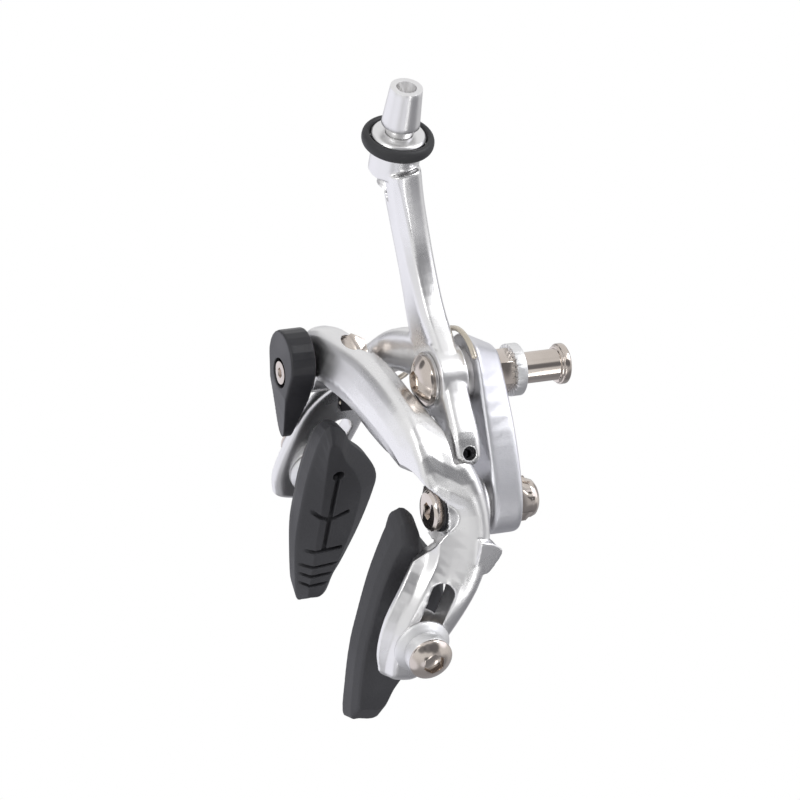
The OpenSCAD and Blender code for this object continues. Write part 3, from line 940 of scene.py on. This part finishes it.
@dataclass
class PadSide(SubAssembly):
    """A pad with its insert, bolt and washers.

    Attributes:
        side: left or right.
        stud: the pad's stud on the leg, in millimetres.
        turn: degrees the pad is turned about its stud.
        pad_voxel: size of the pad's remesh, in metres.
        pad_passes: its rounds of smoothing.
        edge: bevel of the washers and the bolt.
    """

    side: Side
    stud: tuple[float, float, float]
    turn: float
    pad_voxel: float = 0.24 * MM
    pad_passes: int = 2
    edge: float = 0.2 * MM

    def pieces(self) -> list[Piece]:
        """Returns the washers, which stay with the arm, and the pad, insert and bolt."""
        side = self.side.value
        washers = ("dome_washer", "cup_washer", "inner_dome", "inner_cup")
        return [
            *(Crisp(f"{side}_{w}", MATTE, body=self.body, edge=self.edge) for w in washers),
            TreadedPad(f"{side}_pad", PAD_RUBBER, body=f"{side}_pad", voxel=self.pad_voxel,
                       passes=self.pad_passes, stud=self.stud, turn=self.turn),
            Piece(f"{side}_pad_insert", BLACK_STEEL),
            Crisp(f"{side}_pad_bolt", NICKEL, body=f"{side}_pad", edge=self.edge),
        ]


@dataclass(frozen=True)
class Screen:
    """A soft-edged area of the surroundings, as the metal mirrors it.

    Attributes:
        toward: direction of its middle.
        core: degrees from the middle that keep its full tone.
        edge: degrees from the middle at which it has faded out.
        tone: its grey.
        weight: how much of what lies behind it is covered.
        blue: how much stronger its blue is.
    """

    toward: tuple[float, float, float]
    core: float
    edge: float
    tone: float
    weight: float = 1.0
    blue: float = 1.08

    def over(self, tree: Tree, direction: Socket, behind: Socket) -> Socket:
        """Lays the screen over the surroundings.

        Args:
            tree: the world's tree.
            direction: the direction looked in.
            behind: colour of what lies behind.

        Returns:
            The colour with the screen in it.
        """
        middle = tuple(Vector(self.toward).normalized())
        near = tree.node(
            "ShaderNodeVectorMath", {"operation": "DOT_PRODUCT"}, {0: direction, 1: middle}, "Value"
        )
        cover = near.ramp(math.cos(math.radians(self.edge)), math.cos(math.radians(self.core)))
        grey = (self.tone, self.tone, self.tone * self.blue)
        return tree.mix(cover * self.weight, behind, grey)


SCREENS = (
    # the bright front of the tent, low on the left and low in front
    Screen((-0.55, -0.60, -0.58), 24, 46, 1.0, 0.95),
    Screen((0.35, -0.75, -0.56), 15, 30, 1.0, 0.9),
    # the white wall low on the right
    Screen((0.90, -0.22, -0.40), 7, 15, 0.98, 0.8),
    # the soft box behind
    Screen((0.15, 0.86, 0.49), 14, 26, 1.7, 0.9),
    # the shaded table behind the brake
    Screen((0.62, 0.56, -0.55), 20, 38, 0.20, 0.85),
    # the dim side of the room behind the camera's right
    Screen((0.92, 0.46, 0.10), 12, 22, 0.30, 0.6),
    Screen((0.74, 0.35, 0.58), 12, 26, 0.12, 0.92),
    # the opening that the camera looks through, and the dim room between it and that side
    Screen((0.76, -0.06, 0.62), 12, 22, 0.16, 0.9),
    Screen((0.70, -0.46, 0.55), 8, 20, 0.12, 0.85),
    # the gap between the soft boxes overhead
    Screen((0.12, -0.18, 0.97), 8, 13, 0.28, 0.85),
    # stands and flags round the set
    Screen((0.99, -0.16, -0.04), 5, 11, 0.02, 0.9),
    Screen((-0.69, -0.70, 0.14), 7, 13, 0.10, 0.9),
    Screen((-0.30, 0.86, 0.10), 10, 26, 0.24, 0.8),
    Screen((-0.92, -0.30, -0.10), 8, 20, 0.20, 0.7),
)


@dataclass(frozen=True)
class SoftBox:
    """A soft area light.

    Attributes:
        name: its name.
        place: where it is, in metres.
        size: its width and height.
        power: in watts.
        tint: its colour.
    """

    name: str
    place: tuple[float, float, float]
    size: tuple[float, float]
    power: float
    tint: Colour = WHITE

    def build(self, aim: Sequence[float]) -> bpy.types.Object:
        """Makes the light.

        Args:
            aim: the point it faces.

        Returns:
            The light.
        """
        data = bpy.data.lights.new(self.name, "AREA")
        data.shape = "RECTANGLE"
        data.size, data.size_y = self.size
        data.energy = self.power
        data.color = self.tint
        lamp = bpy.data.objects.new(self.name, data)
        lamp.location = self.place
        lamp.rotation_mode = "QUATERNION"
        lamp.rotation_quaternion = (Vector(aim) - Vector(self.place)).to_track_quat("-Z", "Y")
        bpy.context.scene.collection.objects.link(lamp)
        return lamp


SOFT_BOXES = (
    SoftBox("key", (0.30, -0.80, 0.62), (0.34, 0.34), 1.6),
    SoftBox("top", (0.20, 0.52, 0.72), (0.46, 0.36), 2.4, (0.97, 0.98, 1.0)),
    SoftBox("side", (0.92, 0.10, -0.20), (0.10, 0.5), 0.4),
)


@dataclass
class Studio:
    """Floor, lights and surroundings.

    Attributes:
        floor_z: height of the floor, in metres.
        floor_half: half the floor's width.
        backdrop: brightness of the backdrop as the camera sees it.
        rise: heights of a direction between which the surroundings go from low to high.
        low: their colour below.
        high: their colour above.
        floor_tones: the two colours of the floor.
        floor_patch: cells per metre of the floor's noise.
        aim: the point that the lights face.
    """

    floor_z: float = -0.32
    floor_half: float = 3.0
    backdrop: float = 1.0
    rise: tuple[float, float] = (-0.95, 0.1)
    low: Colour = (0.34, 0.34, 0.36)
    high: Colour = (0.84, 0.84, 0.85)
    floor_tones: tuple[Colour, Colour] = ((0.86, 0.86, 0.86), (0.90, 0.90, 0.90))
    floor_patch: float = 3.0
    aim: tuple[float, float, float] = (0.0, -0.02, -0.02)

    def world(self) -> None:
        """Makes the surroundings: white to the camera, a soft gradient to the metal."""
        world = bpy.data.worlds.new("studio")
        bpy.context.scene.world = world
        world.use_nodes = True
        world.node_tree.nodes.clear()
        tree = Tree(world.node_tree.nodes, world.node_tree.links)
        direction = tree.node("ShaderNodeTexCoord", output=Space.GENERATED.value)
        tone = tree.mix(tree.split(direction, 2).ramp(*self.rise), self.low, self.high)
        for screen in SCREENS:
            tone = screen.over(tree, direction, tone)
        seen = tree.node("ShaderNodeLightPath", output="Is Camera Ray")
        colour = tree.mix(seen, tone, (self.backdrop,) * 3)
        background = tree.node("ShaderNodeBackground", {}, {"Color": colour, "Strength": 1.0})
        output = tree.nodes.new("ShaderNodeOutputWorld")
        tree.links.new(background.socket, output.inputs["Surface"])

    def floor(self) -> bpy.types.Object:
        """Makes the pale floor: white to the camera, clear to what the metal mirrors.

        Returns:
            The floor object.
        """
        mesh = bpy.data.meshes.new("floor")
        r, z = self.floor_half, self.floor_z
        mesh.from_pydata([(-r, -r, z), (r, -r, z), (r, r, z), (-r, r, z)], [], [(0, 1, 2, 3)])
        floor = bpy.data.objects.new("floor", mesh)
        bpy.context.scene.collection.objects.link(floor)
        made = bpy.data.materials.new("floor")
        made.use_nodes = True
        made.node_tree.nodes.clear()
        tree = Tree(made.node_tree.nodes, made.node_tree.links)
        tone = tree.mix(tree.noise(self.floor_patch), *self.floor_tones)
        plain = tree.node("ShaderNodeBsdfDiffuse", {}, {"Color": tone})
        white = tree.node(
            "ShaderNodeEmission", {}, {"Color": (*WHITE, 1), "Strength": self.backdrop}
        )
        seen = tree.node("ShaderNodeLightPath", output="Is Camera Ray")
        mirrored = tree.node("ShaderNodeLightPath", output="Is Glossy Ray")
        clear = tree.node("ShaderNodeBsdfTransparent")
        lit = tree.node("ShaderNodeMixShader", {}, {0: mirrored, 1: plain, 2: clear})
        mixed = tree.node("ShaderNodeMixShader", {}, {0: seen, 1: lit, 2: white})
        output = tree.nodes.new("ShaderNodeOutputMaterial")
        tree.links.new(mixed.socket, output.inputs["Surface"])
        mesh.materials.append(made)
        return floor

    def build(self) -> None:
        """Makes the whole studio."""
        self.world()
        self.floor()
        for box in SOFT_BOXES:
            box.build(self.aim)


@dataclass
class ProductCamera:
    """The camera that matches the photo.

    Attributes:
        azimuth: degrees round the object; 0 looks along +Y.
        elevation: degrees above the horizon.
        roll: degrees by which the picture is turned clockwise.
        focal_px: focal length in pixels of an 800 pixel picture.
        target: point in the picture's centre, in millimetres.
        distance: from the target, in millimetres.
        picture_px: width of the picture that focal_px is measured in.
        sensor_mm: width of the sensor.
        clip: nearest and furthest distance that is shown, in metres.
    """

    azimuth: float = 62.2
    elevation: float = 36.05
    roll: float = 10.01
    focal_px: float = 5000.0
    target: tuple[float, float, float] = (-31.26, -15.0, -31.0)
    distance: float = 1298.4
    picture_px: float = 800.0
    sensor_mm: float = 36.0
    clip: tuple[float, float] = (0.05, 20.0)

    def build(self) -> bpy.types.Object:
        """Makes the camera.

        Returns:
            The camera.
        """
        a, e, r = (math.radians(v) for v in (self.azimuth, self.elevation, self.roll))
        back = Vector((math.sin(a) * math.cos(e), -math.cos(a) * math.cos(e), math.sin(e)))
        right = Vector((math.cos(a), math.sin(a), 0.0))
        up = back.cross(right)
        across = math.cos(r) * right + math.sin(r) * up
        upward = math.cos(r) * up - math.sin(r) * right
        data = bpy.data.cameras.new("camera")
        data.sensor_width = self.sensor_mm
        data.lens = self.sensor_mm * self.focal_px / self.picture_px
        data.clip_start, data.clip_end = self.clip
        camera = bpy.data.objects.new("camera", data)
        place = Vector(self.target) * MM + back * self.distance * MM
        turn = Matrix((across, upward, back)).transposed().to_4x4()
        camera.matrix_world = Matrix.Translation(place) @ turn
        bpy.context.scene.collection.objects.link(camera)
        bpy.context.scene.camera = camera
        return camera


@dataclass
class Brake:
    """The whole brake.

    Attributes:
        assemblies: its sub-assemblies.
    """

    assemblies: list[SubAssembly]

    def build(self, frame: dict[str, Any]) -> None:
        """Builds every sub-assembly.
        """
        for assembly in self.assemblies:
            assembly.build(frame)


def main() -> None:
    """Builds the scene."""
    logging.basicConfig(level=logging.INFO, format="%(name)s: %(message)s")
    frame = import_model()
    bpy.context.scene.view_settings.view_transform = "Standard"
    brake = Brake([
        Mounting(),
        AdjusterSide(),
        AnchorSide(),
        PadSide("adjuster_side", Side.LEFT, stud=(-39.3, -34.2, -52.6), turn=-4.0),
        PadSide("anchor_side", Side.RIGHT, stud=(39.3, -34.2, -52.8), turn=5.5),
    ])
    brake.build(frame)
    Studio().build()
    ProductCamera().build()


if __name__ == "__main__":
    main()
